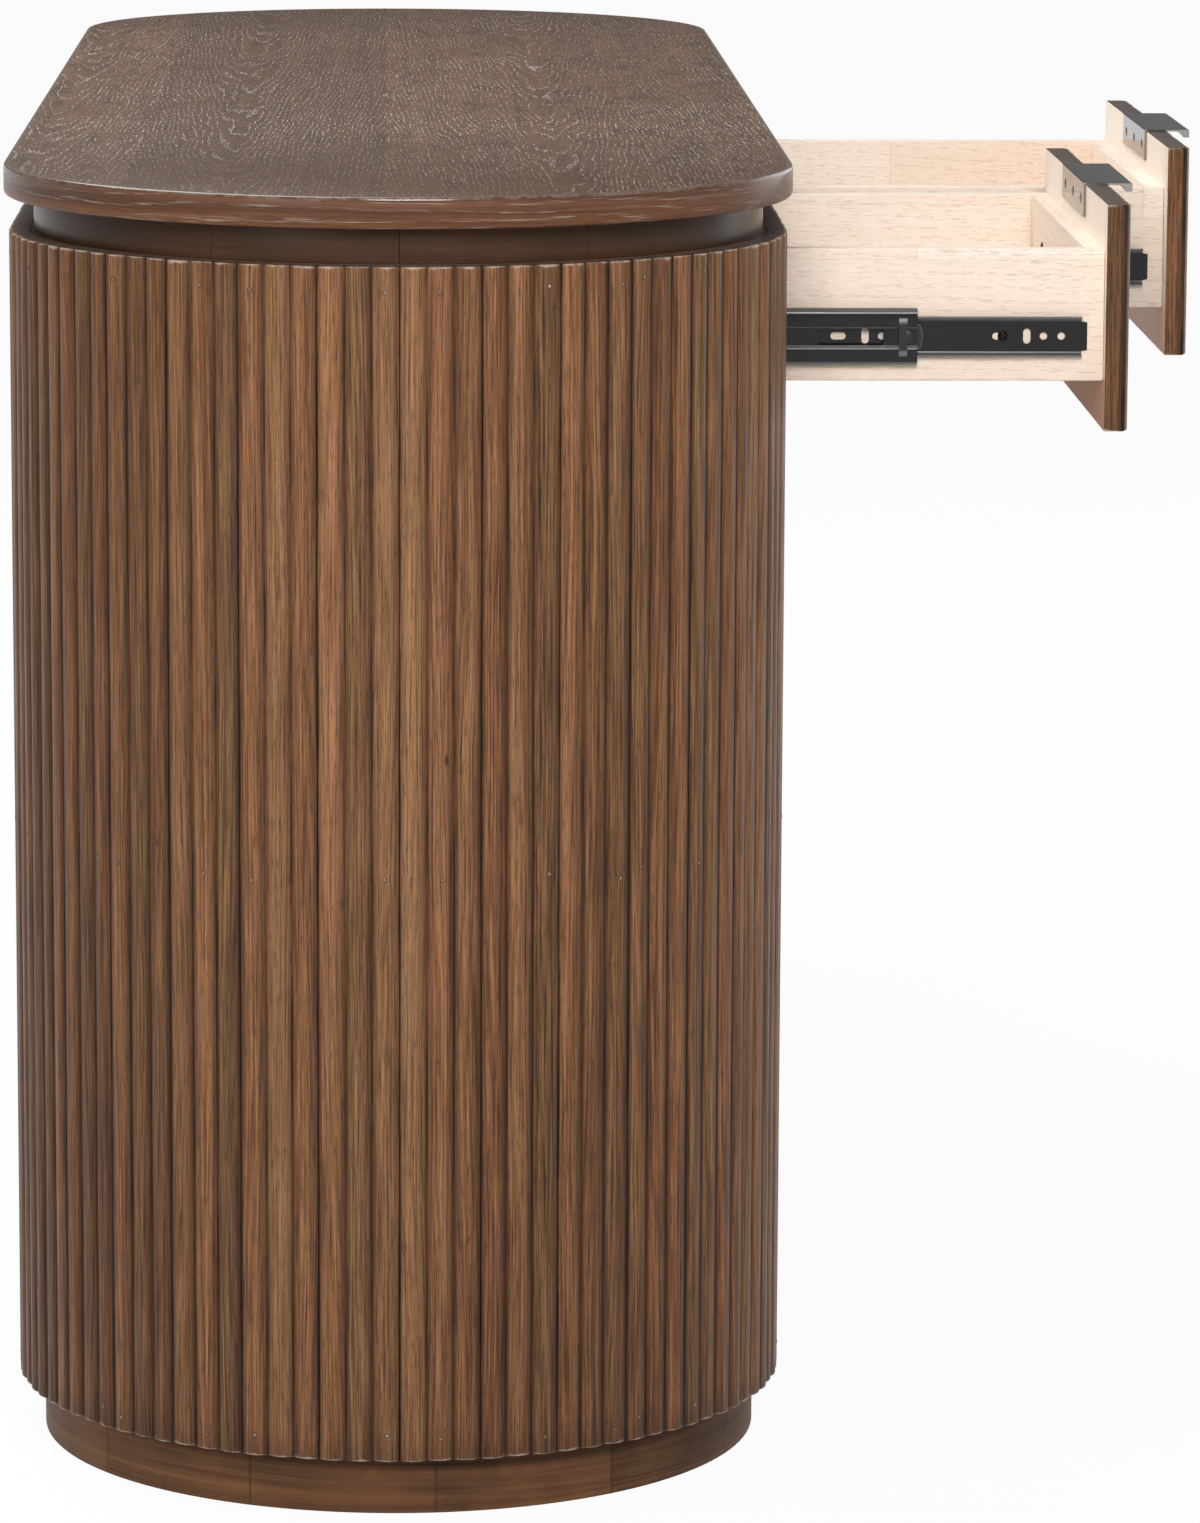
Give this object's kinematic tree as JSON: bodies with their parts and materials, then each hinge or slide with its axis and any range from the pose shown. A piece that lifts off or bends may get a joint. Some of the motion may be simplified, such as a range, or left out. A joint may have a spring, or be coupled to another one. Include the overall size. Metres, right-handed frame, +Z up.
{
  "type": "reeded two-drawer desk",
  "caption": "Desk with half-round reeded ends, closed pedestals, a kneehole and side-by-side drawers on ball-bearing slides under a thin rounded top.",
  "frame": {"origin": "on the floor at mid length, in the middle of the back plinth rail's underside", "axes": "+X along the desk's length, drawers open towards -Y, +Z up"},
  "size_m": [1.59, 0.7799, 0.762],
  "materials": {
    "top_veneer": "satin open-grain veneer",
    "edge_lipping": "satin stained",
    "reeded_wood": "satin stained",
    "stained_wood": "satin stained",
    "drawer_wood": "clear lacquer",
    "pull_metal": "gunmetal",
    "slide_steel": "black zinc",
    "clip_steel": "plain",
    "screw_metal": "black zinc"
  },
  "bodies": {
    "desk": {"back_panel": "stained_wood", "back_plinth_rail": "stained_wood", "back_staves": "reeded_wood", "case_floor": "stained_wood", "centre_divider": "stained_wood", "drawer_riser_rail": "stained_wood", "left_case_rail_screws": "screw_metal", "left_case_rails": "slide_steel", "left_end_staves": "reeded_wood", "left_front_staves": "reeded_wood", "left_knee_side": "stained_wood", "left_pedestal_floor": "stained_wood", "left_pedestal_rib": "stained_wood", "left_plinth": "stained_wood", "left_riser_band": "stained_wood", "right_case_rail_screws": "screw_metal", "right_case_rails": "slide_steel", "right_end_staves": "reeded_wood", "right_front_staves": "reeded_wood", "right_knee_side": "stained_wood", "right_pedestal_floor": "stained_wood", "right_pedestal_rib": "stained_wood", "right_plinth": "stained_wood", "right_riser_band": "stained_wood", "sub_top": "stained_wood", "top_edge_band": "edge_lipping", "top_slab": "top_veneer"},
    "left_drawer": {"left_drawer_inner_side": "drawer_wood", "left_drawer_outer_side": "drawer_wood", "left_drawer_box_front": "drawer_wood", "left_drawer_box_back": "drawer_wood", "left_drawer_floor": "drawer_wood", "left_drawer_front": "reeded_wood", "left_drawer_pull": "pull_metal", "left_drawer_pull_screws": "screw_metal", "left_drawer_front_screws": "screw_metal", "left_drawer_rails": "slide_steel", "left_drawer_rail_screws": "screw_metal"},
    "left_mid_slides": {"left_mid_rails": "slide_steel", "left_mid_rail_clips": "clip_steel"},
    "left_outer_balls": {"left_outer_ball_cages": "clip_steel"},
    "left_inner_balls": {"left_inner_ball_cages": "clip_steel"},
    "right_drawer": {"right_drawer_inner_side": "drawer_wood", "right_drawer_outer_side": "drawer_wood", "right_drawer_box_front": "drawer_wood", "right_drawer_box_back": "drawer_wood", "right_drawer_floor": "drawer_wood", "right_drawer_front": "reeded_wood", "right_drawer_pull": "pull_metal", "right_drawer_pull_screws": "screw_metal", "right_drawer_front_screws": "screw_metal", "right_drawer_rails": "slide_steel", "right_drawer_rail_screws": "screw_metal"},
    "right_mid_slides": {"right_mid_rails": "slide_steel", "right_mid_rail_clips": "clip_steel"},
    "right_outer_balls": {"right_outer_ball_cages": "clip_steel"},
    "right_inner_balls": {"right_inner_ball_cages": "clip_steel"}
  },
  "joints": [
    {"name": "left_drawer_slide", "type": "slide", "parent": "desk", "child": "left_drawer", "axis": [0, -1, 0], "range_m": [-0.222, 0.083]},
    {"name": "left_mid_slide", "type": "slide", "parent": "desk", "child": "left_mid_slides", "axis": [0, -1, 0], "range_m": [-0.111, 0.0415]},
    {"name": "left_outer_ball_slide", "type": "slide", "parent": "desk", "child": "left_outer_balls", "axis": [0, -1, 0], "range_m": [-0.0555, 0.02075]},
    {"name": "left_inner_ball_slide", "type": "slide", "parent": "desk", "child": "left_inner_balls", "axis": [0, -1, 0], "range_m": [-0.1665, 0.06225]},
    {"name": "right_drawer_slide", "type": "slide", "parent": "desk", "child": "right_drawer", "axis": [0, -1, 0], "range_m": [-0.305, 0]},
    {"name": "right_mid_slide", "type": "slide", "parent": "desk", "child": "right_mid_slides", "axis": [0, -1, 0], "range_m": [-0.1525, 0]},
    {"name": "right_outer_ball_slide", "type": "slide", "parent": "desk", "child": "right_outer_balls", "axis": [0, -1, 0], "range_m": [-0.07625, 0]},
    {"name": "right_inner_ball_slide", "type": "slide", "parent": "desk", "child": "right_inner_balls", "axis": [0, -1, 0], "range_m": [-0.22875, 0]}
  ],
  "couplings": [
    {"joint": "left_mid_slide", "follows": "left_drawer_slide", "ratio": 0.5},
    {"joint": "left_outer_ball_slide", "follows": "left_drawer_slide", "ratio": 0.25},
    {"joint": "left_inner_ball_slide", "follows": "left_drawer_slide", "ratio": 0.75},
    {"joint": "right_mid_slide", "follows": "right_drawer_slide", "ratio": 0.5},
    {"joint": "right_outer_ball_slide", "follows": "right_drawer_slide", "ratio": 0.25},
    {"joint": "right_inner_ball_slide", "follows": "right_drawer_slide", "ratio": 0.75}
  ]
}
